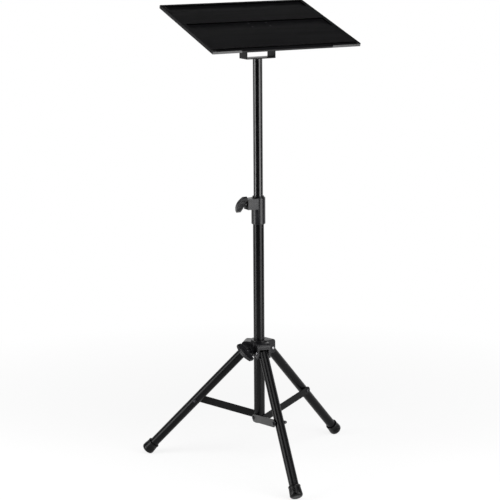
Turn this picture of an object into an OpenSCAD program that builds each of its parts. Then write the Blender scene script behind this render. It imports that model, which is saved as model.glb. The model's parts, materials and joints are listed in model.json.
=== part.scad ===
// Tripod stand with a tilting tray on a telescopic pole. Millimetres, +Z up.
// The origin is on the pole's axis at floor level. The tray's width runs along X,
// its front edge faces -Y.

/* [Pole] */
// Outer diameter of the lower tube
lower_d = 35; // [32:0.5:38]
// Wall of the lower tube
lower_wall = 1.5; // [1.2:0.1:2]
// Height of the lower tube's bottom end above the floor
lower_bottom = 137; // [130:1:145]
// Height of the lower tube's top end, inside the collar
lower_top = 838; // [820:1:850]
// Outer diameter of the upper tube
upper_d = 30; // [28:0.5:31]
// Wall of the upper tube
upper_wall = 1.5; // [1.2:0.1:2]
// Height of the upper tube's top end, where the fork sits
upper_top = 1311; // [1250:1:1350]
// Length of the upper tube
upper_len = 620; // [560:5:640]

/* [Collar] */
// Height of the collar's bottom edge
collar_bottom = 789; // [780:1:795]
// Height of the collar's top edge
collar_top = 874; // [866:1:880]
// Outer diameter of the collar
collar_d = 44.6; // [43:0.2:48]
// Direction of the clamp boss, seen from above
collar_boss_az = 182; // [170:1:200]
// Reach of the clamp boss from the pole's axis
collar_boss_reach = 44; // [42:1:50]
// Width of the clamp boss at its end
collar_boss_w = 29; // [26:1:34]

/* [Hub] */
// Height of the leg pins above the floor, with the legs open
hub_pin_z = 376.5; // [370:0.5:382]
// Distance of the leg pins from the pole's axis
hub_pin_r = 43.5; // [43:0.5:46]
// Diameter of the leg pins
pin_d = 6; // [5:0.5:7]
// Width of each fork of the hub
lobe_w = 43; // [41:0.5:46]
// Reach of each fork from the pole's axis
lobe_reach = 53.5; // [52:0.5:56]
// Direction of the hub's clamp boss, opposite the right leg
hub_boss_az = 199.4; // [195:0.2:204]

/* [Legs] */
// Diameter of the leg tubes
leg_d = 30; // [28:0.5:30]
// Wall of the leg tubes
leg_wall = 1.4; // [1.2:0.1:2]
// Angle of the open legs from upright
leg_spread = 42.9; // [40:0.1:45]
// Direction of the front leg, seen from above
front_leg_az = -100.6; // [-105:0.2:-95]
// Distance from a leg's pin to its brace bolt, along the leg
brace_bolt_s = 247.5; // [240:0.5:255]
// Diameter of a foot at its end
foot_d = 41; // [38:0.5:44]
// Length of a foot along the leg
foot_len = 38; // [34:1:44]

/* [Braces] */
// Height of the brace screws above the floor
brace_screw_z = 148.5; // [146:0.5:151]
// Width of the flat brace bars
brace_w = 25; // [20:0.5:26]
// Thickness of the flat brace bars
brace_t = 3; // [2:0.5:3.5]
// Room between the lower tube and the bars beside it
brace_gap = 0.5; // [0.4:0.1:1]

/* [Tray] */
// Width of the tray
tray_w = 503; // [480:1:520]
// Depth of the tray, front to back
tray_d = 388; // [370:1:400]
// Height of the turned-down edge
tray_lip = 10.4; // [8:0.2:14]
// Thickness of the tray's sheet
tray_t = 1.2; // [1:0.1:2]
// Width of the border around the tray
tray_border = 14; // [10:1:18]
// Depth of the pressed lands below the tray's top
tray_step = 3; // [2:0.5:4]
// Tilt of the tray, front edge down
tray_tilt = 16.9; // [0:0.1:30]
// Distance of the tray's centre in front of the tilt bolt
tray_forward = 4; // [0:1:20]

/* [Fork] */
// Outer width of the fork under the tray
fork_w = 101; // [96:1:106]
// Depth of the fork
fork_depth = 50; // [46:1:54]
// Thickness of the fork's sheet
fork_t = 3; // [2.5:0.5:4]
// Height of the tilt bolt above the fork's web
bolt_h = 69; // [60:1:80]
// Height of the tray's lowest sheet above the tilt bolt
bed_h = 33; // [32:1:40]

/* [Hidden] */

$fn = 64;

// Directions of the three legs
front_az = front_leg_az;
right_az = front_leg_az + 120;
left_az = front_leg_az + 240;

// Running room of a pin or tube that turns or slides in its hole
run = 0.05;

// Pole
lower_r = lower_d / 2;
upper_r = upper_d / 2;
plug_lip = 3;
plug_len = 30;
guide_h = 22;
stop_hole_az = -129;
stop_hole_z = 416.5;
stop_hole_r = 2;

// Collar and its bushing
collar_r = collar_d / 2;
bushing_r = 18.4;
bushing_rim = 4;
bushing_floor = lower_top + 4;
boss_h = 34;
boss_top = collar_top - 1.5;
collar_screw_z = boss_top - boss_h / 2;
clamp_screw_r = 4;

// Hub
hub_bottom = 358;
hub_top = 411;
hub_r = 26.5;
lobe_bottom = 360;
lobe_top = 406.5;
lobe_top_r = 12;
slot_w = leg_d + 1.2;
slot_top = 388;
slot_back = 27.6;
hub_boss_r = 13;
hub_boss_z = 380;
hub_boss_reach = 46;

// Legs: the ears around the pin, and the reach down to the floor
ear_r = 9.5;
tube_start = 3;
foot_r = foot_d / 2;
foot_round = 8;
foot_top_r = 18;
leg_len = (hub_pin_z + foot_round * cos(leg_spread) - (foot_r - foot_round) * sin(leg_spread)
           - foot_round) / cos(leg_spread);
foot_sole = 12;

// Braces: one flat bar beside each leg, from the foot of the pole to the leg
bar_in = lower_r + brace_gap;
bolt_r = hub_pin_r + brace_bolt_s * sin(leg_spread);
bolt_z = hub_pin_z - brace_bolt_s * cos(leg_spread);
bar_len = sqrt(pow(bolt_r, 2) + pow(bolt_z - brace_screw_z, 2));
bar_angle = atan2(bolt_z - brace_screw_z, bolt_r);
open_gap = 0.3;

// Fork and tray
bolt_height = upper_top + fork_t + bolt_h;
fork_top_r = fork_depth / 2;
bracket_t = 2.5;
tray_top = bed_h + tray_step + tray_t;
tray_edge_drop = 2;
tray_mid = 26;
tray_land = 48;
tray_ramp = 24;
tray_far_land = 30;
tray_nose_w = 310;
tray_nose_drop = 5;
bracket_x = fork_w / 2 - fork_t - 1.5;
bracket_d = 44;

// Wing knob
wing_span = 70;
knob_neck_r = 8.5;
knob_inner = 7;
knob_outer = 31;
knob_bow_r = 76;
knob_t = 14;
knob_taper_r = 245;
knob_seat_gap = 1.5;

// A tube standing on the XY plane
module tube(r, wall, h) {
    difference() {
        cylinder(r = r, h = h);
        translate([0, 0, -1]) cylinder(r = r - wall, h = h + 2);
    }
}

// A cylinder along +X
module rod_x(r, h) {
    rotate([0, 90, 0]) cylinder(r = r, h = h);
}

// A cylinder along -Y, the side of a leg on which its brace lies
module rod_side(r, h) {
    rotate([90, 0, 0]) cylinder(r = r, h = h);
}

// A low round screw head along -Y
module screw_head(r, h) {
    rotate([90, 0, 0]) union() {
        cylinder(r = r, h = h * 0.4);
        translate([0, 0, h * 0.4]) cylinder(r1 = r, r2 = r * 0.6, h = h * 0.6, $fn = 32);
    }
}

// Pole, bottom end plug, collar and bushing
module lower_tube() {
    color("black")
    difference() {
        translate([0, 0, lower_bottom]) tube(lower_r, lower_wall, lower_top - lower_bottom);
        for (az = [left_az, right_az, front_az])
            rotate([0, 0, az]) translate([0, 0, brace_screw_z]) rod_side(pin_d / 2, 40);
        rotate([0, 0, stop_hole_az]) translate([0, 0, stop_hole_z]) rod_x(stop_hole_r, 40);
    }
}

module tube_plug() {
    color("dimgray")
    difference() {
        union() {
            translate([0, 0, lower_bottom - plug_lip]) cylinder(r = lower_r, h = plug_lip);
            translate([0, 0, lower_bottom]) cylinder(r = lower_r - lower_wall, h = plug_len);
        }
        for (az = [left_az, right_az, front_az])
            rotate([0, 0, az]) translate([0, -8, brace_screw_z]) rod_side(pin_d / 2, 40);
    }
}

module brace_screw(az) {
    color("silver")
    rotate([0, 0, az]) translate([0, 0, brace_screw_z]) {
        translate([0, -8, 0]) rod_side(pin_d / 2, bar_in + brace_t + run - 8);
        translate([0, -bar_in - brace_t - run, 0]) screw_head(6, 3.5);
    }
}

// The clamp boss: its sides spread from the end face to the collar's round
module collar_boss() {
    corner_d = sqrt(pow(collar_boss_reach, 2) + pow(collar_boss_w / 2, 2));
    root_r = collar_r - 1.2;
    touch = atan2(collar_boss_w / 2, collar_boss_reach) + acos(root_r / corner_d);
    translate([0, 0, boss_top - boss_h]) linear_extrude(boss_h)
        polygon([
            [collar_boss_reach, -collar_boss_w / 2], [collar_boss_reach, collar_boss_w / 2],
            [root_r * cos(touch), root_r * sin(touch)], [root_r * cos(touch), -root_r * sin(touch)]]);
}

module collar() {
    color("dimgray")
    difference() {
        union() {
            rotate_extrude() polygon([
                [0, collar_bottom], [collar_r - 1, collar_bottom], [collar_r, collar_bottom + 1],
                [collar_r, collar_top - 1], [collar_r - 1, collar_top], [0, collar_top]]);
            rotate([0, 0, collar_boss_az]) collar_boss();
        }
        translate([0, 0, collar_bottom - 1]) cylinder(r = lower_r, h = lower_top - collar_bottom + 1);
        translate([0, 0, lower_top - 1]) cylinder(r = upper_r + 1, h = 20);
        translate([0, 0, bushing_floor]) cylinder(r = bushing_r + run, h = 60);
        rotate([0, 0, collar_boss_az]) translate([0, 0, collar_screw_z])
            rod_x(clamp_screw_r + run, collar_boss_reach + 1);
    }
}

module collar_bushing() {
    color("black")
    translate([0, 0, bushing_floor + run])
        tube(bushing_r, bushing_r - upper_r - run, collar_top + bushing_rim - bushing_floor);
}

// A wing knob on its screw's axis, which runs along +X from the seat: a neck, and a bar
// with a curved outer face that thins towards its ends
module wing_knob() {
    difference() {
        union() {
            rod_x(knob_neck_r, knob_inner + 2);
            intersection() {
                rotate([90, 0, 0]) linear_extrude(2 * knob_t, center = true) intersection() {
                    translate([knob_outer - knob_bow_r, 0]) circle(r = knob_bow_r);
                    translate([knob_inner, -wing_span / 2]) square([knob_outer, wing_span]);
                }
                rotate([0, 90, 0]) linear_extrude(knob_outer + 1) intersection_for (s = [-1, 1])
                    translate([0, s * (knob_taper_r - knob_t / 2)]) circle(r = knob_taper_r);
            }
        }
        translate([-1, 0, 0]) rod_x(clamp_screw_r, 13);
    }
}

module clamp_screw(inner, seat) {
    translate([inner, 0, 0]) rod_x(clamp_screw_r, seat + 12 - inner);
}

collar_knob_seat = collar_boss_reach + knob_seat_gap;
hub_knob_seat = hub_boss_reach + 4;

module collar_screw() {
    color("silver")
    rotate([0, 0, collar_boss_az]) translate([0, 0, collar_screw_z])
        clamp_screw(bushing_r + 0.6, collar_knob_seat);
}

module collar_knob() {
    color("dimgray")
    rotate([0, 0, collar_boss_az]) translate([collar_knob_seat, 0, collar_screw_z])
        rotate([48, 0, 0]) wing_knob();
}

// Upper tube, guide, fork and tilt bolt
module upper_tube() {
    color("black")
    translate([0, 0, upper_top - upper_len]) tube(upper_r, upper_wall, upper_len);
}

module upper_tube_guide() {
    color("dimgray")
    translate([0, 0, upper_top - upper_len]) union() {
        translate([0, 0, -3]) tube(lower_r - lower_wall - run, 5, 3);
        tube(upper_r - upper_wall, 2.5, guide_h);
    }
}

module fork_wall() {
    rotate([90, 0, 90]) linear_extrude(fork_t) difference() {
        union() {
            translate([-fork_depth / 2, 0]) square([fork_depth, fork_t + bolt_h]);
            translate([0, fork_t + bolt_h]) circle(r = fork_top_r);
        }
        translate([0, fork_t + bolt_h]) circle(r = pin_d / 2);
    }
}

module fork() {
    color("black")
    translate([0, 0, upper_top]) {
        translate([-fork_w / 2, -fork_depth / 2, 0]) cube([fork_w, fork_depth, fork_t]);
        translate([-fork_w / 2, 0, 0]) fork_wall();
        translate([fork_w / 2 - fork_t, 0, 0]) fork_wall();
    }
}

module tilt_bolt() {
    color("silver")
    translate([0, 0, bolt_height]) {
        translate([-fork_w / 2 - 1.6, 0, 0]) rod_x(pin_d / 2, fork_w + 12);
        translate([-fork_w / 2 - 1.6 - 4, 0, 0]) rod_x(5.5, 4);
    }
}

module tilt_washer(side) {
    color("silver")
    translate([side > 0 ? fork_w / 2 : -fork_w / 2 - 1.6, 0, bolt_height])
        difference() {
            rod_x(9, 1.6);
            translate([-1, 0, 0]) rod_x(pin_d / 2, 4);
        }
}

module tilt_nut() {
    color("silver")
    translate([fork_w / 2 + 1.6, 0, bolt_height]) difference() {
        rotate([0, 90, 0]) cylinder(r = 5.8, h = 7, $fn = 6);
        translate([-1, 0, 0]) rod_x(pin_d / 2, 9);
    }
}

// The tray's own frame: origin on the tilt bolt, level
module tray_place() {
    translate([0, 0, bolt_height]) rotate([tray_tilt, 0, 0]) translate([0, -tray_forward, 0]) children();
}

// The pressed sheet, drawn across the tray's depth: its walls face the front, and each
// sunken land rises to the top again by a ramp
module tray_sheet(width, edge_drop) {
    front = -tray_d / 2;
    back = tray_d / 2 - tray_border;
    t = tray_t;
    rotate([90, 0, 90]) linear_extrude(width) polygon([
        [front, -edge_drop], [-back, -tray_edge_drop], [-back, 0],
        [tray_mid - tray_land - tray_ramp, 0], [tray_mid - tray_land, -tray_step],
        [tray_mid, -tray_step], [tray_mid, 0],
        [back - tray_far_land - tray_ramp, 0], [back - tray_far_land, -tray_step],
        [back, -tray_step], [back, 0], [tray_d / 2, 0], [tray_d / 2, -t],
        [back + t, -t], [back + t, -tray_step - t], [back - tray_far_land, -tray_step - t],
        [back - tray_far_land - tray_ramp, -t], [tray_mid + t, -t], [tray_mid + t, -tray_step - t],
        [tray_mid - tray_land, -tray_step - t], [tray_mid - tray_land - tray_ramp, -t],
        [t - back, -t], [t - back, -tray_edge_drop - t], [front, -edge_drop - t]]);
}

module tray() {
    side = tray_w / 2 - tray_border;
    front = -tray_d / 2;
    nose = tray_nose_w / 2;
    color("black")
    tray_place() translate([0, 0, tray_top]) {
        translate([-nose, 0, 0]) tray_sheet(tray_nose_w, tray_nose_drop);
        translate([-nose, front, -tray_lip]) cube([tray_nose_w, tray_t, tray_lip - tray_nose_drop]);
        translate([-tray_w / 2, tray_d / 2 - tray_t, -tray_lip]) cube([tray_w, tray_t, tray_lip]);
        for (s = [0, 1]) mirror([s, 0, 0]) {
            translate([nose, 0, 0]) tray_sheet(side - nose, tray_edge_drop);
            translate([nose, front, -tray_lip]) cube([side - nose, tray_t, tray_lip - tray_edge_drop]);
            translate([nose, 0, 0]) rotate([90, 0, 90]) linear_extrude(tray_t) polygon([
                [front, -tray_edge_drop], [front + tray_border + tray_t, -tray_edge_drop],
                [front + tray_border + tray_t, -tray_edge_drop - tray_t], [front, -tray_nose_drop - tray_t]]);
            translate([side, front, -tray_t]) cube([tray_border, tray_d, tray_t]);
            translate([side, front, -tray_step - tray_t]) cube([tray_t, tray_d, tray_step + tray_t]);
            translate([side, front, -tray_lip]) cube([tray_border, tray_t, tray_lip]);
            translate([tray_w / 2 - tray_t, front, -tray_lip]) cube([tray_t, tray_d, tray_lip]);
        }
    }
}

module tray_bracket(side) {
    color("black")
    translate([0, 0, bolt_height]) rotate([tray_tilt, 0, 0])
        translate([side * bracket_x, 0, 0]) mirror([side > 0 ? 0 : 1, 0, 0]) {
            difference() {
                translate([-bracket_t, 0, 0]) rotate([90, 0, 90]) linear_extrude(bracket_t) union() {
                    translate([-bracket_d / 2, 0]) square([bracket_d, bed_h]);
                    circle(r = bracket_d / 2);
                }
                translate([-bracket_t - 1, 0, 0]) rod_x(pin_d / 2 + run, bracket_t + 2);
            }
            translate([-22, -bracket_d / 2, bed_h - bracket_t]) cube([22 - bracket_t, bracket_d, bracket_t]);
        }
}

// Hub: a sleeve with three forks and a clamp boss
module lobe_profile() {
    lobe_h = lobe_top - lobe_bottom;
    intersection() {
        square([lobe_reach, lobe_h]);
        union() {
            square([lobe_reach + 1, lobe_h - lobe_top_r]);
            square([lobe_reach - lobe_top_r, lobe_h + 1]);
            translate([lobe_reach - lobe_top_r, lobe_h - lobe_top_r]) circle(r = lobe_top_r);
        }
    }
}

module hub() {
    color("dimgray")
    difference() {
        union() {
            translate([0, 0, hub_bottom]) cylinder(r = hub_r, h = hub_top - hub_bottom);
            for (az = [left_az, right_az, front_az])
                rotate([0, 0, az]) translate([0, lobe_w / 2, lobe_bottom])
                    rotate([90, 0, 0]) linear_extrude(lobe_w) lobe_profile();
            rotate([0, 0, hub_boss_az]) translate([0, 0, hub_boss_z]) rod_x(hub_boss_r, hub_boss_reach);
        }
        translate([0, 0, hub_bottom - 1]) cylinder(r = lower_r + 2 * run, h = hub_top - hub_bottom + 2);
        for (az = [left_az, right_az, front_az]) rotate([0, 0, az]) {
            translate([slot_back, -slot_w / 2, hub_bottom - 1]) cube([40, slot_w, slot_top - hub_bottom + 1]);
            translate([hub_pin_r, 30, hub_pin_z]) rod_side(pin_d / 2, 60);
        }
        rotate([0, 0, hub_boss_az]) translate([0, 0, hub_boss_z])
            rod_x(clamp_screw_r + run, hub_boss_reach + 1);
    }
}

module hub_pin(az) {
    color("silver")
    rotate([0, 0, az]) translate([hub_pin_r, 0, hub_pin_z]) {
        translate([0, lobe_w / 2, 0]) rod_side(pin_d / 2, lobe_w);
        translate([0, -lobe_w / 2, 0]) screw_head(4.5, 2);
        mirror([0, 1, 0]) translate([0, -lobe_w / 2, 0]) screw_head(4.5, 2);
    }
}

module hub_screw() {
    color("silver")
    rotate([0, 0, hub_boss_az]) translate([0, 0, hub_boss_z])
        clamp_screw(lower_r + 0.6, hub_knob_seat);
}

module hub_knob() {
    color("dimgray")
    rotate([0, 0, hub_boss_az]) translate([hub_knob_seat, 0, hub_boss_z])
        rotate([-35, 0, 0]) wing_knob();
}

// Legs: each hangs from its pin, in a frame whose -Z runs down the tube
module leg_place(az) {
    rotate([0, 0, az]) translate([hub_pin_r, 0, hub_pin_z]) rotate([0, -leg_spread, 0]) children();
}

module leg(az) {
    color("black")
    leg_place(az) difference() {
        translate([0, 0, -leg_len + foot_sole]) tube(leg_d / 2, leg_wall, leg_len - foot_sole + ear_r + 1);
        difference() {
            translate([-20, -20, -tube_start]) cube([40, 40, 40]);
            translate([0, 30, 0]) rod_side(ear_r, 60);
        }
        translate([0, 30, 0]) rod_side(pin_d / 2 + run, 60);
        translate([0, 30, -brace_bolt_s]) rod_side(pin_d / 2, 60);
    }
}

module leg_bolt(az) {
    color("silver")
    leg_place(az) translate([0, 0, -brace_bolt_s]) {
        translate([0, leg_d / 2 + 8, 0]) rod_side(pin_d / 2, leg_d + 8 + bar_in - open_gap - leg_d / 2);
        translate([0, leg_d / 2 + 1.5, 0]) rod_side(6, 1.5);
        translate([0, leg_d / 2 + 6, 0]) rotate([90, 0, 0]) cylinder(r = 5.5, h = 4.5, $fn = 6);
        translate([0, -leg_d / 2, 0]) rod_side(6, bar_in - open_gap - leg_d / 2);
    }
}

module foot(az) {
    color("#222222")
    leg_place(az) translate([0, 0, -leg_len]) difference() {
        union() {
            translate([0, 0, foot_round]) cylinder(r1 = foot_r, r2 = foot_top_r, h = foot_len - foot_round);
            cylinder(r = foot_r - foot_round, h = foot_round);
            translate([0, 0, foot_round]) rotate_extrude()
                translate([foot_r - foot_round, 0]) intersection() {
                    circle(r = foot_round);
                    translate([0, -foot_round]) square([foot_round, foot_round]);
                }
        }
        translate([0, 0, foot_sole]) cylinder(r = leg_d / 2, h = 60);
    }
}

// Braces: each turns on its screw at the foot of the pole, beside its leg
module brace_place(az) {
    rotate([0, 0, az]) translate([0, -bar_in, brace_screw_z]) rotate([0, -bar_angle, 0]) children();
}

module brace(az) {
    color("black")
    brace_place(az) rotate([90, 0, 0]) linear_extrude(brace_t) difference() {
        union() {
            circle(r = brace_w / 2);
            translate([0, -brace_w / 2]) square([bar_len, brace_w]);
            translate([bar_len, 0]) circle(r = brace_w / 2);
        }
        circle(r = pin_d / 2 + run);
        translate([bar_len, 0]) circle(r = pin_d / 2);
    }
}

module brace_bolt(az) {
    color("silver")
    brace_place(az) translate([bar_len, 0, 0]) {
        rod_side(pin_d / 2, brace_t);
        translate([0, -brace_t, 0]) screw_head(6, 3.5);
    }
}

lower_tube();
tube_plug();
collar();
collar_bushing();
collar_screw();
collar_knob();
brace_screw(left_az);  // brace_screw_left
brace_screw(right_az);  // brace_screw_right
brace_screw(front_az);  // brace_screw_front
upper_tube();
upper_tube_guide();
fork();
tilt_bolt();
tilt_washer(-1);  // tilt_washer_left
tilt_washer(1);  // tilt_washer_right
tilt_nut();
tray();
tray_bracket(-1);  // tray_bracket_left
tray_bracket(1);  // tray_bracket_right
hub();
hub_pin(left_az);  // hub_pin_left
hub_pin(right_az);  // hub_pin_right
hub_pin(front_az);  // hub_pin_front
hub_screw();
hub_knob();
leg(left_az);  // leg_left
leg(right_az);  // leg_right
leg(front_az);  // leg_front
leg_bolt(left_az);  // leg_bolt_left
leg_bolt(right_az);  // leg_bolt_right
leg_bolt(front_az);  // leg_bolt_front
foot(left_az);  // foot_left
foot(right_az);  // foot_right
foot(front_az);  // foot_front
brace(left_az);  // brace_left
brace(right_az);  // brace_right
brace(front_az);  // brace_front
brace_bolt(left_az);  // brace_bolt_left
brace_bolt(right_az);  // brace_bolt_right
brace_bolt(front_az);  // brace_bolt_front
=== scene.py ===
import json
import math

import bmesh
import bpy
from mathutils import Matrix, Vector


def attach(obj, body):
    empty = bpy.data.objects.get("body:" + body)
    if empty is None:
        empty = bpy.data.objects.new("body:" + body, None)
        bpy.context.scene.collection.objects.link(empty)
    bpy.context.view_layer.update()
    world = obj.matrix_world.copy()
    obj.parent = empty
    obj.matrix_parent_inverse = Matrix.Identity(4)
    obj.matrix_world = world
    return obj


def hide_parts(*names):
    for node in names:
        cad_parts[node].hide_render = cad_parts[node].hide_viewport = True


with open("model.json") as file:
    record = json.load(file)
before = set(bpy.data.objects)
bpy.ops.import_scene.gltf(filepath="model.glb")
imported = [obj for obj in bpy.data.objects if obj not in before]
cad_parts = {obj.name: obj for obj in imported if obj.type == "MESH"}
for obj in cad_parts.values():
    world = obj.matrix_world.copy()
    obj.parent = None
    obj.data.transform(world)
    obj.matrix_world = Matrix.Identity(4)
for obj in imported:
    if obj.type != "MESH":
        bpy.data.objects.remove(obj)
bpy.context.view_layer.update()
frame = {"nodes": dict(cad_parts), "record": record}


stand = {  # the solids' own sizes, in metres and degrees
    "legAzimuth": {"left": 139.4, "right": 19.4, "front": -100.6},
    "legPinRadius": 0.0435,
    "legPinHeight": 0.3765,
    "legSpread": 42.9,
    "legLength": 0.49945,
    "legRadius": 0.015,
    "boltAlongLeg": 0.2475,
    "barInner": 0.018,
    "barScrewHeight": 0.1485,
    "barThickness": 0.003,
    "barRise": 12.423,
    "barLength": 0.21706,
    "screwGap": 0.00005,  # between a turning bar and the screw's head
    "tiltHeight": 1.383,
    "trayTilt": 16.9,
    "trayForward": 0.004,
}


def turnZ(degrees):
    return Matrix.Rotation(math.radians(degrees), 4, "Z")


def turnX(degrees):
    return Matrix.Rotation(math.radians(degrees), 4, "X")


def turnY(degrees):
    return Matrix.Rotation(math.radians(degrees), 4, "Y")


def shift(x, y, z):
    return Matrix.Translation((x, y, z))


def legPlace(side):  # a frame whose -Z runs down the leg and whose -Y is the brace's side
    return (
        turnZ(stand["legAzimuth"][side])
        @ shift(stand["legPinRadius"], 0, stand["legPinHeight"])
        @ turnY(-stand["legSpread"])
    )


def trayPlace():  # level, with the tilt bolt at its origin
    return (
        shift(0, 0, stand["tiltHeight"])
        @ turnX(stand["trayTilt"])
        @ shift(0, -stand["trayForward"], 0)
    )


def chooseNothing():
    if bpy.context.mode != "OBJECT":
        bpy.ops.object.mode_set(mode="OBJECT")
    bpy.ops.object.select_all(action="DESELECT")


def only(piece):
    chooseNothing()
    piece.select_set(True)
    bpy.context.view_layer.objects.active = piece
    return piece


def editing(piece):
    only(piece)
    bpy.ops.object.mode_set(mode="EDIT")
    bpy.ops.mesh.select_mode(type="VERT")
    bpy.ops.mesh.select_all(action="DESELECT")


def done():
    bpy.ops.object.mode_set(mode="OBJECT")


def chooseFaces(test):  # test takes a face's centre and normal
    bpy.ops.mesh.select_mode(type="FACE")
    mesh = bmesh.from_edit_mesh(bpy.context.active_object.data)
    for face in mesh.faces:
        face.select_set(bool(test(face.calc_center_median(), face.normal)))
    mesh.select_flush_mode()
    bmesh.update_edit_mesh(bpy.context.active_object.data)


def chooseVerts(test):  # test takes a vertex's place
    bpy.ops.mesh.select_mode(type="VERT")
    mesh = bmesh.from_edit_mesh(bpy.context.active_object.data)
    for vert in mesh.verts:
        vert.select_set(bool(test(vert.co)))
    mesh.select_flush_mode()
    bmesh.update_edit_mesh(bpy.context.active_object.data)


def block(name, low, high):  # a box between two corners, a start for further modelling
    low, high = Vector(low), Vector(high)
    chooseNothing()
    bpy.ops.mesh.primitive_cube_add(size=1, location=(low + high) / 2)
    piece = bpy.context.active_object
    piece.scale = high - low
    piece.name = name
    bpy.ops.object.transform_apply(location=True, rotation=True, scale=True)
    return piece


def prism(name, sides, radius, bottom, top):  # around Z
    chooseNothing()
    bpy.ops.mesh.primitive_cylinder_add(
        vertices=sides, radius=radius, depth=top - bottom, location=(0, 0, (bottom + top) / 2)
    )
    piece = bpy.context.active_object
    piece.name = name
    bpy.ops.object.transform_apply(location=True)
    return piece


def turnedPiece(name, rings, sides=64, hollow=False):  # rings are (radius, height) along +Z
    chooseNothing()
    radius, height = rings[0]
    bpy.ops.mesh.primitive_circle_add(
        vertices=sides, radius=radius, fill_type="NOTHING" if hollow else "NGON", location=(0, 0, height)
    )
    piece = bpy.context.active_object
    piece.name = name
    bpy.ops.object.transform_apply(location=True)
    bpy.ops.object.mode_set(mode="EDIT")
    bpy.ops.mesh.select_all(action="SELECT")
    extrude = bpy.ops.mesh.extrude_edges_move if hollow else bpy.ops.mesh.extrude_region_move
    for nextRadius, nextHeight in rings[1:] + (rings[:1] if hollow else []):
        extrude(TRANSFORM_OT_translate={"value": (0, 0, nextHeight - height)})
        grow = nextRadius / radius
        bpy.ops.transform.resize(value=(grow, grow, 1), center_override=(0, 0, nextHeight))
        radius, height = nextRadius, nextHeight
    bpy.ops.mesh.select_all(action="SELECT")
    bpy.ops.mesh.remove_doubles(threshold=1e-6)
    bpy.ops.mesh.normals_make_consistent(inside=False)
    done()
    return piece


def bevelled(piece, width, segments=2, angle=30):
    only(piece)
    bevel = piece.modifiers.new("edge", "BEVEL")
    bevel.width = width
    bevel.segments = segments
    bevel.limit_method = "ANGLE"
    bevel.angle_limit = math.radians(angle)
    bevel.use_clamp_overlap = True
    bpy.ops.object.modifier_apply(modifier=bevel.name)
    return piece


def cutWith(piece, tool, operation="DIFFERENCE"):
    only(piece)
    cut = piece.modifiers.new("cut", "BOOLEAN")
    cut.operation = operation
    cut.solver = "EXACT"
    cut.object = tool
    bpy.ops.object.modifier_apply(modifier=cut.name)
    bpy.data.objects.remove(tool)
    return piece


def smooth(piece, angle=35):
    only(piece)
    bpy.ops.object.shade_smooth_by_angle(angle=math.radians(angle))
    return piece


def softened(node, name, width):  # the CAD node's shape with its edges broken
    source = frame["nodes"][node]
    piece = bpy.data.objects.new(name, source.data.copy())
    bpy.context.scene.collection.objects.link(piece)
    piece.data.materials.clear()
    editing(piece)
    bpy.ops.mesh.select_all(action="SELECT")
    bpy.ops.mesh.remove_doubles(threshold=2e-6)
    bpy.ops.mesh.dissolve_limited(angle_limit=math.radians(0.6))
    bpy.ops.mesh.customdata_custom_splitnormals_clear()
    done()
    bevelled(piece, width)
    smooth(piece)
    flat = piece.modifiers.new("flat", "WEIGHTED_NORMAL")  # wide faces stay flat beside their soft edges
    flat.keep_sharp = True
    bpy.ops.object.modifier_apply(modifier=flat.name)
    return piece


def joined(pieces):
    only(pieces[0])
    for piece in pieces:
        piece.select_set(True)
    bpy.ops.object.join()
    return pieces[0]


def placed(piece, matrix):
    piece.data.transform(matrix)
    piece.data.update()
    return piece


def copied(piece, name, matrix):
    copy = bpy.data.objects.new(name, piece.data.copy())
    bpy.context.scene.collection.objects.link(copy)
    return placed(copy, matrix)


def finishPiece(piece, body, slotName, material, *nodes):
    piece.data.materials.clear()
    piece.data.materials.append(material)
    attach(piece, body)
    if nodes:
        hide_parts(*nodes)
    return piece


class Wire:  # a socket that can be used in sums
    def __init__(self, recipe, socket):
        self.recipe = recipe
        self.socket = socket

    def sum(self, operation, a, b=None):
        inputs = {0: a} if b is None else {0: a, 1: b}
        return self.recipe.add("ShaderNodeMath", {"operation": operation}, inputs)

    def __add__(self, other):
        return self.sum("ADD", self, other)

    __radd__ = __add__

    def __mul__(self, other):
        return self.sum("MULTIPLY", self, other)

    __rmul__ = __mul__

    def __sub__(self, other):
        return self.sum("SUBTRACT", self, other)

    def __rsub__(self, other):
        return self.sum("SUBTRACT", other, self)

    def size(self):
        return self.sum("ABSOLUTE", self)

    def most(self, other):
        return self.sum("MAXIMUM", self, other)

    def least(self, other):
        return self.sum("MINIMUM", self, other)


shaderSockets = {
    "color": "Base Color",
    "roughness": "Roughness",
    "metallic": "Metallic",
    "coat": "Coat Weight",
    "coatRoughness": "Coat Roughness",
    "specular": "Specular IOR Level",
    "normal": "Normal",
}


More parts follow.
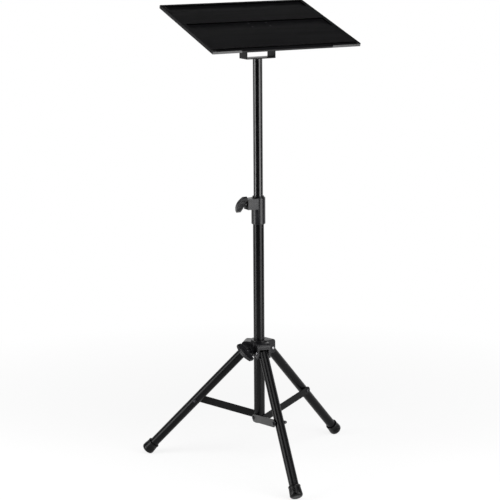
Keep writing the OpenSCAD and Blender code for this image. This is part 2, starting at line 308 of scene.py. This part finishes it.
class Recipe:  # one material's node tree
    def __init__(self, name):
        self.material = bpy.data.materials.new(name)
        self.material.use_nodes = True
        self.tree = self.material.node_tree
        self.shader = self.tree.nodes["Principled BSDF"]
        self.where = self.add("ShaderNodeTexCoord", {}, {}, "Object")

    def add(self, kind, settings, inputs, output=0):
        node = self.tree.nodes.new(kind)
        for key, value in settings.items():
            setattr(node, key, value)
        for key, value in inputs.items():
            self.plug(node.inputs[key], value)
        return Wire(self, node.outputs[output])

    def plug(self, socket, value):
        if isinstance(value, Wire):
            self.tree.links.new(value.socket, socket)
        else:
            socket.default_value = value

    def set(self, **inputs):
        for key, value in inputs.items():
            self.plug(self.shader.inputs[shaderSockets[key]], value)
        return self.material

    def split(self, vector):  # into X, Y and Z
        outputs = self.add("ShaderNodeSeparateXYZ", {}, {"Vector": vector}).socket.node.outputs
        return [Wire(self, socket) for socket in outputs]

    def noise(self, scale, detail=2, roughness=0.5, vector=None):
        inputs = {"Vector": vector or self.where, "Scale": scale, "Detail": detail, "Roughness": roughness}
        return self.add("ShaderNodeTexNoise", {}, inputs, "Fac")

    def cells(self, scale, feature="F1"):
        inputs = {"Vector": self.where, "Scale": scale}
        return self.add("ShaderNodeTexVoronoi", {"feature": feature}, inputs, "Distance")

    def map(self, value, low, high, toLow=0.0, toHigh=1.0):
        inputs = {"Value": value, "From Min": low, "From Max": high, "To Min": toLow, "To Max": toHigh}
        return self.add("ShaderNodeMapRange", {}, inputs, "Result")

    def blend(self, factor, a, b):  # two colours, each a wire or three numbers
        a, b = (shade if isinstance(shade, Wire) else (*shade, 1) for shade in (a, b))
        return self.add("ShaderNodeMix", {"data_type": "RGBA"}, {"Factor": factor, 6: a, 7: b}, 2)

    def bump(self, height, strength, distance):
        inputs = {"Height": height, "Strength": strength, "Distance": distance}
        return self.add("ShaderNodeBump", {}, inputs, "Normal")


enamel = {
    "cloudScale": 9,
    "speckScale": 900,
    "patchScale": 40,  # the patches where the specks lie
    "lighter": 2.4,
    "duller": 0.1,
    "speckDuller": 0.2,
    "ripple": 0.006,
    "rippleDepth": 0.0004,
}


def glossPaint(name, color, roughness, grain, dust, specular):
    mat = Recipe(name)
    flow = mat.noise(grain, 3, 0.55)
    cloud = mat.noise(enamel["cloudScale"], 4, 0.6)
    patches = mat.map(mat.noise(enamel["patchScale"], 2), 0.62, 0.72)
    specks = mat.map(mat.cells(enamel["speckScale"]), 0.03, 0.09, 1, 0) * patches
    lighter = tuple(c * enamel["lighter"] + dust for c in color)
    duller = mat.map(cloud, 0.3, 0.75, roughness, roughness + enamel["duller"])
    return mat.set(
        color=mat.blend(mat.map(cloud, 0.42, 0.72) * 0.5 + specks * 0.5, color, lighter),
        roughness=duller + specks * enamel["speckDuller"],
        specular=specular,
        normal=mat.bump(flow, enamel["ripple"], enamel["rippleDepth"]),
    )


trayCoat = {
    "color": (0.0042, 0.0042, 0.0047),
    # near-black colour of the shade painted into the steps
    "paintedShadeColor": (0.0002, 0.0002, 0.0002),
    "roughness": 0.42,
    "specular": 0.03,
    "grain": 900,
    "bump": 0.3,
    "bumpDepth": 0.0004,
    "coat": 0.16,
    "edgeCoat": 0.9,
    "coatRoughness": 0.34,
    "lighter": 1.4,
    "duller": 0.12,
    "paintedShadeDuller": 0.45,
    "cloudScale": 6,
    "wipeScale": 3,
    "wipeStretch": 14,
    "shadedSteps": ((-0.18, 0.0012), (0.026, 0.0014), (0.18, 0.0016)),  # the steps' places, and the half widths of the shade painted along them
    "sideWall": 0.2375,
    "sideShade": 0.0016,
    "sunken": (0.0003, 0.0007),  # below the top, where the painted shade along the side walls begins
    "nose": 0.155,
    "noseFade": 0.001,
    "noseDrop": (0.0026, 0.0034),
    "top": 0.0372,
    "frontFace": (-0.1925, -0.1932),
}


def powderCoat(name):  # thick black coat, with shade painted darker and duller into the sheet's sharp steps
    mat = Recipe(name)
    tilt, height = math.radians(stand["trayTilt"]), stand["tiltHeight"]
    level = mat.add("ShaderNodeMapping", {}, {
        "Vector": mat.where,
        "Location": (0, stand["trayForward"] - height * math.sin(tilt), -height * math.cos(tilt)),
        "Rotation": (-tilt, 0, 0),
    })
    across, depth, up = mat.split(level)  # the tray's own X, Y and Z
    depthBelow = trayCoat["top"] - up
    # painted shade: a near-black, duller band without coat along each step and, below the top, along the side
    # walls
    paintedShade = 0
    for place, width in trayCoat["shadedSteps"]:
        paintedShade = mat.map((depth - place).size(), width, width * 0.6) + paintedShade
    sunken = mat.map(depthBelow, *trayCoat["sunken"])
    beside, width = across.size() - trayCoat["sideWall"], trayCoat["sideShade"]
    paintedShade = (paintedShade + mat.map(beside.size(), width, width * 0.6) * sunken).least(1)
    cloud = mat.noise(trayCoat["cloudScale"], 5, 0.62)
    along = mat.add("ShaderNodeMapping", {}, {"Vector": level, "Scale": (1, trayCoat["wipeStretch"], 1)})
    wipes = mat.noise(trayCoat["wipeScale"], 3, 0.6, along)
    fade = mat.map(cloud + wipes * 0.4, 0.55, 0.95)
    color, roughness, coat = trayCoat["color"], trayCoat["roughness"], trayCoat["coat"]
    tone = mat.blend(fade, color, tuple(c * trayCoat["lighter"] for c in color))
    duller = mat.map(wipes, 0.35, 0.7, roughness, roughness + trayCoat["duller"])
    nose = trayCoat["nose"]
    edge = mat.map(depthBelow, *trayCoat["noseDrop"]) * mat.map(depth, *trayCoat["frontFace"])
    edge = edge * mat.map(across.size(), nose - trayCoat["noseFade"], nose)
    return mat.set(
        color=mat.blend(paintedShade, tone, trayCoat["paintedShadeColor"]),
        roughness=duller + paintedShade * trayCoat["paintedShadeDuller"],
        coat=(1 - paintedShade) * coat + edge * (trayCoat["edgeCoat"] - coat),
        coatRoughness=trayCoat["coatRoughness"],
        specular=trayCoat["specular"],
        normal=mat.bump(mat.noise(trayCoat["grain"], 2, 0.5), trayCoat["bump"], trayCoat["bumpDepth"]),
    )


moulding = {"cloudScale": 22, "lighter": 1.35, "haze": 0.0006, "bump": 0.12, "bumpDepth": 0.0003}


def mouldedPlastic(name, color, roughness, grain, specular):
    mat = Recipe(name)
    spark = mat.cells(grain, "SMOOTH_F1")
    fine = mat.noise(grain * 0.7, 3, 0.6)
    cloud = mat.noise(moulding["cloudScale"], 4, 0.6)
    lighter = tuple(c * moulding["lighter"] + moulding["haze"] for c in color)
    return mat.set(
        color=mat.blend(mat.map(cloud, 0.4, 0.7), color, lighter),
        roughness=mat.map(cloud, 0.3, 0.7, roughness - 0.05, roughness + 0.08),
        specular=specular,
        normal=mat.bump(spark * 0.6 + fine * 0.4, moulding["bump"], moulding["bumpDepth"]),
    )


rubber = {
    "color": (0.0014, 0.0014, 0.0016),
    "dust": (0.012, 0.0115, 0.011),
    "dustHeight": 0.018,
    "roughness": (0.26, 0.4),
    "specular": 0.16,
    "grain": 700,
    "cloudScale": 30,
    "bump": 0.15,
    "bumpDepth": 0.0003,
}


def footRubber(name):  # dusty towards the floor
    mat = Recipe(name)
    grain = mat.noise(rubber["grain"], 3, 0.6)
    cloud = mat.noise(rubber["cloudScale"], 4, 0.6)
    height = mat.split(mat.where)[2]
    scuff = mat.map(height, rubber["dustHeight"], 0.0, 0, 1).least(1).most(0) * mat.map(cloud, 0.4, 0.65)
    return mat.set(
        color=mat.blend(scuff * 0.6, rubber["color"], rubber["dust"]),
        roughness=mat.map(cloud, 0.3, 0.7, *rubber["roughness"]),
        specular=rubber["specular"],
        normal=mat.bump(grain, rubber["bump"], rubber["bumpDepth"]),
    )


plating = {
    "crystalScale": 420,
    "cloudScale": 160,
    "darker": 0.72,
    "duller": 0.14,
    "bump": 0.12,
    "bumpDepth": 0.0003,
}


def platedSteel(name, color, roughness):
    mat = Recipe(name)
    crystals = mat.cells(plating["crystalScale"])
    cloud = mat.noise(plating["cloudScale"], 4, 0.6)
    return mat.set(
        color=mat.blend(mat.map(cloud, 0.35, 0.7), color, tuple(c * plating["darker"] for c in color)),
        metallic=1.0,
        roughness=mat.map(crystals, 0.1, 0.7, roughness, roughness + plating["duller"]),
        normal=mat.bump(cloud, plating["bump"], plating["bumpDepth"]),
    )


finishes = {
    "gloss_black_tube": glossPaint(
        "upperTubeEnamel", color=(0.0018, 0.0018, 0.002), roughness=0.16, grain=420, dust=0.001, specular=0.45
    ),
    "black_tube": glossPaint(
        "lowerTubeEnamel", color=(0.0018, 0.0018, 0.002), roughness=0.22, grain=380, dust=0.001, specular=0.16
    ),
    "black_leg": glossPaint(
        "legEnamel", color=(0.0016, 0.0016, 0.0019), roughness=0.24, grain=380, dust=0.001, specular=0.12
    ),
    "black_brace": glossPaint(
        "braceEnamel", color=(0.003, 0.003, 0.0033), roughness=0.32, grain=300, dust=0.002, specular=0.14
    ),
    "black_bracket": glossPaint(
        "bracketEnamel", color=(0.0026, 0.0026, 0.0029), roughness=0.3, grain=300, dust=0.002, specular=0.08
    ),
    "tray_sheet": powderCoat("trayPowderCoat"),
    "black_plastic": mouldedPlastic(
        "plugPlastic", color=(0.003, 0.003, 0.0033), roughness=0.36, grain=1400, specular=0.2
    ),
    "grey_plastic": mouldedPlastic(
        "collarPlastic", color=(0.006, 0.006, 0.0069), roughness=0.29, grain=1300, specular=0.28
    ),
    "knob_plastic": mouldedPlastic(
        "knobPlastic", color=(0.006, 0.006, 0.0069), roughness=0.28, grain=1500, specular=0.3
    ),
    "foot_rubber": footRubber("footRubber"),
    "steel": platedSteel("zincPlatedSteel", color=(0.62, 0.62, 0.64), roughness=0.26),
    "dark_steel": platedSteel("blackedSteel", color=(0.06, 0.06, 0.065), roughness=0.34),
}
for subpart in frame["record"]["subparts"]:
    node = frame["nodes"][subpart["node"]]
    node.data.materials.clear()
    node.data.materials.append(finishes[subpart["material_slot"]])
print("finishes made:", len(finishes))
slotOf = {subpart["node"]: subpart["material_slot"] for subpart in frame["record"]["subparts"]}
bodyOf = {node: body for body, nodes in frame["record"]["behaviour"]["bodies"].items() for node in nodes}


def dress(piece, *nodes):  # a piece that stands for these CAD nodes, in the first one's body and finish
    slot = slotOf[nodes[0]]
    return finishPiece(piece, bodyOf[nodes[0]], slot, finishes[slot], *nodes)


tubes = {
    "lower_tube": {"radius": 0.0175, "wall": 0.0015, "bottom": 0.137, "top": 0.838},
    "upper_tube": {"radius": 0.015, "wall": 0.0015, "bottom": 0.691, "top": 1.311},
}
tubeLip = 0.0004
stopHole = {"azimuth": -129, "height": 0.4165, "radius": 0.002, "from": 0.003, "to": 0.033}


def pipe(name, radius, wall, bottom, top):
    inner, lip = radius - wall, tubeLip
    rings = [
        (radius - lip, bottom),
        (radius, bottom + lip),
        (radius, top - lip),
        (radius - lip, top),
        (inner, top),
        (inner, bottom),
    ]
    return turnedPiece(name, rings, 96, hollow=True)


for name, tube in tubes.items():
    made = pipe(name + ".pipe", **tube)
    if name == "lower_tube":
        drill = prism("drill", 24, stopHole["radius"], stopHole["from"], stopHole["to"])
        placed(drill, turnZ(stopHole["azimuth"]) @ shift(0, 0, stopHole["height"]) @ turnY(90))
        cutWith(made, drill)
    dress(smooth(made), name)
print("tubes made")

brokenEdges = {
    "collar": 0.0011,
    "collar_bushing": 0.0006,
    "hub": 0.0012,
    "fork": 0.0008,
    "tray_bracket_left": 0.0006,
    "tray_bracket_right": 0.0006,
    "brace_left": 0.0008,
    "brace_right": 0.0008,
    "brace_front": 0.0008,
    "tube_plug": 0.0006,
    "upper_tube_guide": 0.0005,
    "leg_left": 0.0004,
    "leg_right": 0.0004,
    "leg_front": 0.0004,
}
for node, width in brokenEdges.items():
    dress(softened(node, node + ".form", width), node)
print("edges broken:", len(brokenEdges))

knobShape = {
    "half": 0.035,
    "inner": 0.007,
    "outer": 0.031,
    "thick": 0.0139,
    "steps": 4,  # across each half
    "bow": 0.0078,
    "thin": 0.36,
    "crease": 0.0002,  # along the outer face's middle
    "edge": 0.0026,
    "near": 0.0035,  # how close to a row of vertices counts as on it
    "skin": 0.001,
    "hollow": {"half": 0.6, "from": 0.006, "to": 0.004, "inset": 0.0012, "depth": 0.0008},
    "neck": [  # radius, and height above the seat
        (0.0085, 0),
        (0.0085, 0.004),
        (0.0078, 0.0046),
        (0.0078, 0.0056),
        (0.0084, 0.0075),
        (0.0065, 0.012),
    ],
}
knobPlaces = {
    "collar_knob": {"azimuth": 182, "seat": 0.0455, "height": 0.8555, "roll": 48},
    "hub_knob": {"azimuth": 199.4, "seat": 0.050, "height": 0.380, "roll": -35},
}


def wingKnob(name):  # along +X from its seat, its wing along Y
    half, inner, outer, thick = (knobShape[k] for k in ("half", "inner", "outer", "thick"))
    steps, near, skin = knobShape["steps"], knobShape["near"], knobShape["skin"]
    wing = block(name, (inner, -half, -thick / 2), (outer, half, thick / 2))
    editing(wing)
    bpy.ops.mesh.select_all(action="SELECT")
    bpy.ops.mesh.subdivide(number_cuts=2 * steps - 1)
    for step in range(steps + 1):  # the outer face bows and the bar thins, towards its ends
        along = half * step / steps
        bow = knobShape["bow"] * (along / half) ** 2
        lower = (outer - inner - bow) / (outer - inner)
        chooseVerts(lambda p: abs(abs(p.y) - along) < near and p.x > inner + skin)
        bpy.ops.transform.resize(value=(lower, 1, 1), center_override=(inner, 0, 0))
        chooseVerts(lambda p: abs(abs(p.y) - along) < near)
        thinner = 1 - knobShape["thin"] * (along / half) ** 2
        bpy.ops.transform.resize(value=(1, 1, thinner), center_override=(0, 0, 0))
    chooseVerts(lambda p: p.x > outer - knobShape["bow"] - skin and abs(p.z) < skin / 3)
    bpy.ops.transform.translate(value=(-knobShape["crease"], 0, 0))
    hollow = knobShape["hollow"]  # a shallow one for the thumb on each side
    chooseFaces(
        lambda c, n: abs(n.z) > 0.8
        and abs(c.y) < half * hollow["half"]
        and inner + hollow["from"] < c.x < outer - hollow["to"]
    )
    bpy.ops.mesh.inset(thickness=hollow["inset"], depth=-hollow["depth"])
    done()
    bevelled(wing, knobShape["edge"], 4, 50)
    neck = turnedPiece(name + "neck", knobShape["neck"], 48)
    placed(neck, turnY(90))
    return smooth(joined([wing, neck]), 40)


for node, place in knobPlaces.items():
    knob = wingKnob(node + ".wing")
    atBoss = turnZ(place["azimuth"]) @ shift(place["seat"], 0, place["height"])
    dress(placed(knob, atBoss @ turnX(place["roll"])), node)
print("knobs made")

footShape = {
    "sole": 0.0125,
    "round": 0.008,
    "roundSteps": 8,
    "bottomRadius": 0.0205,
    "topRadius": 0.0180,
    "length": 0.038,
    "pit": [(0.004, 0.0006), (0.009, 0.0006), (0.0095, 0)],  # radius and height, under the sole
    "grooves": (0.0145, 0.0185, 0.0225),
    "grooveForm": ((0, 0), (0.0007, 0.0005), (0.0007, 0.0011), (0, 0.0016)),  # inwards and upwards
    "rimStart": 0.0058,
    "rimForm": ((0.0012, 0.0048), (0.0014, 0.003), (0.0012, 0.0012), (0.0004, 0.0003)),  # outwards and down
    "mouth": ((0.0165, 0), (0.0152, 0.0006), (0.0149, 0.004)),  # radius, and depth below the top
}


def footSide(height):  # the foot's radius where it tapers
    bottom, top = footShape["bottomRadius"], footShape["topRadius"]
    fall = (bottom - top) / (footShape["length"] - footShape["round"])
    return bottom - fall * (height - footShape["round"])


def rubberFoot(name):  # its sole at the origin, the leg along +Z
    sole, bend, steps = footShape["sole"], footShape["round"], footShape["roundSteps"]
    top, rimStart = footShape["length"], footShape["rimStart"]
    rings = footShape["pit"] + [(sole, 0)]
    for step in range(1, steps + 1):
        around = math.radians(step * 90 / steps)
        rings.append((sole + bend * math.sin(around), bend * (1 - math.cos(around))))
    for groove in footShape["grooves"]:
        rings += [(footSide(groove) - inwards, groove + up) for inwards, up in footShape["grooveForm"]]
    rings.append((footSide(top - rimStart), top - rimStart))
    rings += [(footSide(top) + outwards, top - down) for outwards, down in footShape["rimForm"]]
    rings += [(radius, top - down) for radius, down in footShape["mouth"]]
    return smooth(turnedPiece(name, rings, 72), 40)


foot = rubberFoot("footPattern")
for side in ("left", "right", "front"):
    atSole = legPlace(side) @ shift(0, 0, -stand["legLength"])
    dress(copied(foot, f"foot_{side}.cap", atSole), f"foot_{side}")
bpy.data.objects.remove(foot)
print("feet made")

fastener = {
    "screwHead": {"radius": 0.006, "height": 0.0035, "socket": 0.0022, "socketDepth": 0.0018},
    "tiltHead": {"radius": 0.0055, "height": 0.004, "socket": 0.0024, "socketDepth": 0.002},
    "pinHead": {"radius": 0.0045, "height": 0.002, "socket": 0.0, "socketDepth": 0.0},
    "nut": {"radius": 0.0055, "height": 0.0045, "tip": 0.0025},
    "tiltNut": {"radius": 0.0058, "height": 0.007, "tip": 0.003},
    "washer": {"radius": 0.006, "height": 0.0015},
    "tiltWasher": {"radius": 0.009, "height": 0.0016},
    "bolt": 0.003,
    "pitch": 0.0005,
    "pinReach": 0.0215,
    "spacer": 1.8,  # a spacer's height in washers
}
domeForm = ((0.96, 0), (1, 0.12), (1, 0.34), (0.97, 0.5), (0.88, 0.72), (0.72, 0.9), (0.5, 0.98), (0.2, 1))


def dome(name, form, radius, height, sides):  # the form's radii and heights are shares of these
    return turnedPiece(name, [(radius * across, height * up) for across, up in form], sides)


def plainRod(name, low, high, sides, lip=0.0001):  # a bolt's shaft along Z
    bolt = fastener["bolt"]
    rings = [(bolt - lip, low - lip), (bolt, low), (bolt, high), (bolt - lip, high + lip)]
    return turnedPiece(name, rings, sides)


def screwHead(name, form, shaft=0.0):  # its seat at the origin, the head along +Z
    height, bolt = form["height"], fastener["bolt"]
    head = dome(name, domeForm, form["radius"], height, 48)
    if form["socket"]:
        bottom = height - form["socketDepth"]
        cutWith(head, prism("socket", 6, form["socket"], bottom, bottom + 0.01))
    if shaft:
        rings = [(bolt, -shaft), (bolt, 0.0001), (bolt / 3, 0.0004)]
        head = joined([head, turnedPiece(name + "rod", rings, 32)])
    return smooth(head, 32)


def hexNut(name, form):  # its seat at the origin, along +Z, with the bolt's end through it
    r, h, bolt, pitch = form["radius"], form["height"], fastener["bolt"], fastener["pitch"]
    nut = prism(name, 6, r, 0, h)
    corners = [(r * 0.9, -0.0001), (r * 1.02, h * 0.16), (r * 1.02, h * 0.84), (r * 0.9, h + 0.0001)]
    cutWith(nut, turnedPiece(name + "lens", corners, 48), "INTERSECT")
    thread = [(bolt * 1.18, h - 0.0002), (bolt * 1.16, h + 0.00005)]
    for turn in range(int(form["tip"] / pitch)):
        z = h + 0.0001 + turn * pitch
        thread += [(bolt * 0.9, z), (bolt, z + pitch / 2)]
    thread += [(bolt * 0.88, h + form["tip"]), (bolt * 0.5, h + form["tip"] + 0.0002)]
    return smooth(joined([nut, turnedPiece(name + "tip", thread, 32)]), 28)


def washer(name, form):
    r, h, hole = form["radius"], form["height"], fastener["bolt"]
    lip = min(0.0003, h / 4)
    rings = [(r - lip, 0), (r, lip), (r, h - lip), (r - lip, h), (hole, h), (hole, 0)]
    return smooth(turnedPiece(name, rings, 48, hollow=True))


towardsBar, awayFromBar = turnX(90), turnX(-90)  # turn +Z to -Y and to +Y
screw = screwHead("screwPattern", fastener["screwHead"], 0.004)
pin = screwHead("pinPattern", fastener["pinHead"], 0.002)
nut = hexNut("nutPattern", fastener["nut"])
flat = washer("washerPattern", fastener["washer"])
for side in ("left", "right", "front"):
    toPole = turnZ(stand["legAzimuth"][side]) @ shift(0, -stand["barInner"], stand["barScrewHeight"])
    outside = shift(0, -stand["barThickness"] - stand["screwGap"], 0) @ towardsBar
    dress(copied(screw, f"brace_screw_{side}.head", toPole @ outside), f"brace_screw_{side}")
    onLeg = toPole @ turnY(-stand["barRise"]) @ shift(stand["barLength"], 0, 0)
    dress(copied(screw, f"brace_bolt_{side}.head", onLeg @ outside), f"brace_bolt_{side}")
    bolt = legPlace(side) @ shift(0, 0, -stand["boltAlongLeg"])
    farSide = bolt @ shift(0, stand["legRadius"], 0) @ awayFromBar
    nearSide = bolt @ shift(0, -stand["legRadius"], 0) @ towardsBar
    parts = [
        copied(flat, f"leg_bolt_{side}.set", farSide),
        copied(nut, "legNut", farSide @ shift(0, 0, fastener["washer"]["height"])),
        copied(flat, "legSpacer", nearSide @ Matrix.Diagonal((1, 1, fastener["spacer"], 1))),
    ]
    dress(smooth(joined(parts), 28), f"leg_bolt_{side}")
    hubPin = turnZ(stand["legAzimuth"][side]) @ shift(stand["legPinRadius"], 0, stand["legPinHeight"])
    reach = fastener["pinReach"]
    ends = [
        copied(pin, f"hub_pin_{side}.ends", hubPin @ shift(0, -reach, 0) @ towardsBar),
        copied(pin, "farEnd", hubPin @ shift(0, reach, 0) @ awayFromBar),
        placed(plainRod("hubRod", -0.0209, 0.0209, 32), hubPin @ towardsBar),
    ]
    dress(smooth(joined(ends), 32), f"hub_pin_{side}")
for pattern in (screw, pin, nut, flat):
    bpy.data.objects.remove(pattern)

halfFork = 0.0505
atTilt = shift(0, 0, stand["tiltHeight"])
leftFace = atTilt @ shift(-halfFork, 0, 0) @ turnY(-90)
rightFace = atTilt @ shift(halfFork, 0, 0) @ turnY(90)
overWasher = shift(0, 0, fastener["tiltWasher"]["height"])
for side, face in (("left", leftFace), ("right", rightFace)):
    ring = washer(f"tilt_washer_{side}.ring", fastener["tiltWasher"])
    dress(placed(ring, face), f"tilt_washer_{side}")
tiltBolt = joined([
    placed(screwHead("tilt_bolt.shaft", fastener["tiltHead"]), leftFace @ overWasher),
    placed(plainRod("tiltRod", -0.052, 0.0540, 40), atTilt @ turnY(90)),
])
dress(smooth(tiltBolt, 32), "tilt_bolt")
dress(placed(hexNut("tilt_nut.hex", fastener["tiltNut"]), rightFace @ overWasher), "tilt_nut")
print("fasteners made")

dress(softened("tray", "tray.sheet", 0.0005), "tray")
rivet = {
    "across": (-0.031, 0.031),
    "along": (-0.013, 0.016),
    "land": 0.0342,  # the sunken land's height above the tilt bolt
    "radius": 0.0034,
    "height": 0.0012,
    "form": ((1, 0), (0.96, 0.35), (0.8, 0.72), (0.5, 0.94), (0.16, 1)),
}
heads = []
for x in rivet["across"]:
    for y in rivet["along"]:
        head = dome("tray_rivets", rivet["form"], rivet["radius"], rivet["height"], 32)
        heads.append(placed(head, trayPlace() @ shift(x, y, rivet["land"])))
finishPiece(smooth(joined(heads), 50), "tray", "dark_steel", finishes["dark_steel"])
print("tray made")

view = {
    "position": (-2.4108, -4.6075, 1.8267),
    "turn": 27.62,
    "pitch": 12.19,
    "yaw": -0.30,
    "roll": -0.39,
    "lens": 120.69,
    "sensor": 36,
    "farthest": 50,
}


studio = {
    "ambient": 0.22,
    "floorSize": 60,
    "floorColor": (0.86, 0.86, 0.86, 1),
    "floorWhite": 0.84,
    "shadowReach": 1.8,
    "boxes": {  # azimuth from the camera, to its right
        "leftBox": {
            "azimuth": -70, "distance": 1.5, "height": 0.74, "size": (0.7, 1.7), "power": 26, "aim": 0.74,
        },
        "rightBox": {
            "azimuth": 51, "distance": 1.5, "height": 0.74, "size": (1.0, 1.7), "power": 32, "aim": 0.74,
        },
        "topBox": {
            "azimuth": 20, "distance": 1.2, "height": 3.4, "size": (1.8, 1.8), "power": 45, "aim": 0.6,
        },
    },
    "cardColor": (0.02, 0.02, 0.02, 1),  # of the screen and the ceiling
    "screen": {"reach": 1.9, "height": 2.0, "spread": 225, "centre": -4},
    "ceiling": {"height": 3.6, "size": 9},
}


def makeCamera():
    pitch, yaw, roll = (math.radians(view[k]) for k in ("pitch", "yaw", "roll"))
    ahead = Vector((math.sin(yaw) * math.cos(pitch), math.cos(yaw) * math.cos(pitch), -math.sin(pitch)))
    across = Vector((math.cos(yaw), -math.sin(yaw), 0))
    up = across.cross(ahead)
    across, up = (
        math.cos(roll) * across + math.sin(roll) * up,
        -math.sin(roll) * across + math.cos(roll) * up,
    )
    toObject = Matrix.Rotation(-math.radians(view["turn"]), 3, "Z")
    across, up, ahead = toObject @ across, toObject @ up, toObject @ ahead
    data = bpy.data.cameras.new("camera")
    data.lens = view["lens"]
    data.sensor_width = view["sensor"]
    data.clip_end = view["farthest"]
    camera = bpy.data.objects.new("camera", data)
    bpy.context.scene.collection.objects.link(camera)
    camera.matrix_world = Matrix((
        (across.x, up.x, -ahead.x, view["position"][0]),
        (across.y, up.y, -ahead.y, view["position"][1]),
        (across.z, up.z, -ahead.z, view["position"][2]),
        (0, 0, 0, 1),
    ))
    bpy.context.scene.camera = camera


def softbox(name, azimuth, distance, height, size, power, aim):
    around = math.radians(azimuth - view["turn"])
    place = Vector((math.sin(around) * distance, -math.cos(around) * distance, height))
    data = bpy.data.lights.new(name, "AREA")
    data.shape = "RECTANGLE"
    data.size, data.size_y = size
    data.energy = power
    lamp = bpy.data.objects.new(name, data)
    bpy.context.scene.collection.objects.link(lamp)
    lamp.location = place
    lamp.rotation_euler = (Vector((0, 0, aim)) - place).to_track_quat("-Z", "Y").to_euler()
    lamp.visible_camera = False


def darkCard(piece):  # black card that only reflections see
    card = Recipe(piece.name + "Card")
    card.set(color=studio["cardColor"], roughness=1.0, specular=0.0)
    piece.data.materials.append(card.material)
    for way in ("camera", "diffuse", "shadow", "transmission", "volume_scatter"):
        setattr(piece, "visible_" + way, False)


def levelPlane(name, size, height):
    chooseNothing()
    bpy.ops.mesh.primitive_plane_add(size=size, location=(0, 0, height))
    piece = bpy.context.active_object
    piece.name = name
    bpy.ops.object.transform_apply(location=True)
    return piece


def azimuthFromCamera(p):
    return math.degrees(math.atan2(p.x, -p.y)) + view["turn"]


def makeCards():  # a dark screen in front of the stand, and a dark ceiling
    screen, ceiling = studio["screen"], studio["ceiling"]
    chooseNothing()
    bpy.ops.mesh.primitive_circle_add(vertices=72, radius=screen["reach"], fill_type="NOTHING")
    wall = bpy.context.active_object
    wall.name = "frontScreen"
    editing(wall)
    chooseVerts(lambda p: abs(azimuthFromCamera(p) - screen["centre"]) > screen["spread"] / 2 + 0.1)
    bpy.ops.mesh.delete(type="VERT")
    bpy.ops.mesh.select_all(action="SELECT")
    bpy.ops.mesh.extrude_edges_move(TRANSFORM_OT_translate={"value": (0, 0, screen["height"])})
    done()
    darkCard(wall)
    darkCard(levelPlane("darkCeiling", ceiling["size"], ceiling["height"]))


def seenRays(recipe):  # 1 where the camera, a reflection or a view through glass looks
    rays = recipe.add("ShaderNodeLightPath", {}, {}, "Is Camera Ray")
    glossy, through = (
        Wire(recipe, rays.socket.node.outputs[k]) for k in ("Is Glossy Ray", "Is Transmission Ray")
    )
    return rays.most(glossy).most(through)


def makeFloor():
    floor = levelPlane("floor", studio["floorSize"], 0)
    mat = Recipe("paleFloor")
    mat.set(color=studio["floorColor"], roughness=0.95, specular=0.1)
    away = mat.add("ShaderNodeVectorMath", {"operation": "LENGTH"}, {0: mat.where}, "Value")
    white = mat.add("ShaderNodeEmission", {}, {"Color": (1, 1, 1, 1), "Strength": 1.0}, "Emission")
    reach = studio["shadowReach"]
    fade = seenRays(mat) * mat.map(away, reach * 0.4, reach, studio["floorWhite"], 1)
    shades = {0: fade, 1: Wire(mat, mat.shader.outputs[0]), 2: white}
    mixed = mat.add("ShaderNodeMixShader", {}, shades, "Shader")
    mat.plug(mat.tree.nodes["Material Output"].inputs["Surface"], mixed)
    floor.data.materials.append(mat.material)


def makeWorld():
    world = bpy.data.worlds.new("studio")
    bpy.context.scene.world = world
    world.use_nodes = True
    sky = Recipe.__new__(Recipe)
    sky.tree = world.node_tree
    white = (1, 1, 1, 1)
    dim = sky.add("ShaderNodeBackground", {}, {"Color": white, "Strength": studio["ambient"]}, "Background")
    full = sky.add("ShaderNodeBackground", {}, {"Color": white, "Strength": 1.0}, "Background")
    mixed = sky.add("ShaderNodeMixShader", {}, {0: seenRays(sky), 1: dim, 2: full}, "Shader")
    sky.plug(sky.tree.nodes["World Output"].inputs["Surface"], mixed)


makeCamera()
makeFloor()
makeCards()
makeWorld()
for name, box in studio["boxes"].items():
    softbox(name, **box)
bpy.context.scene.view_settings.view_transform = "Standard"
print("studio made")
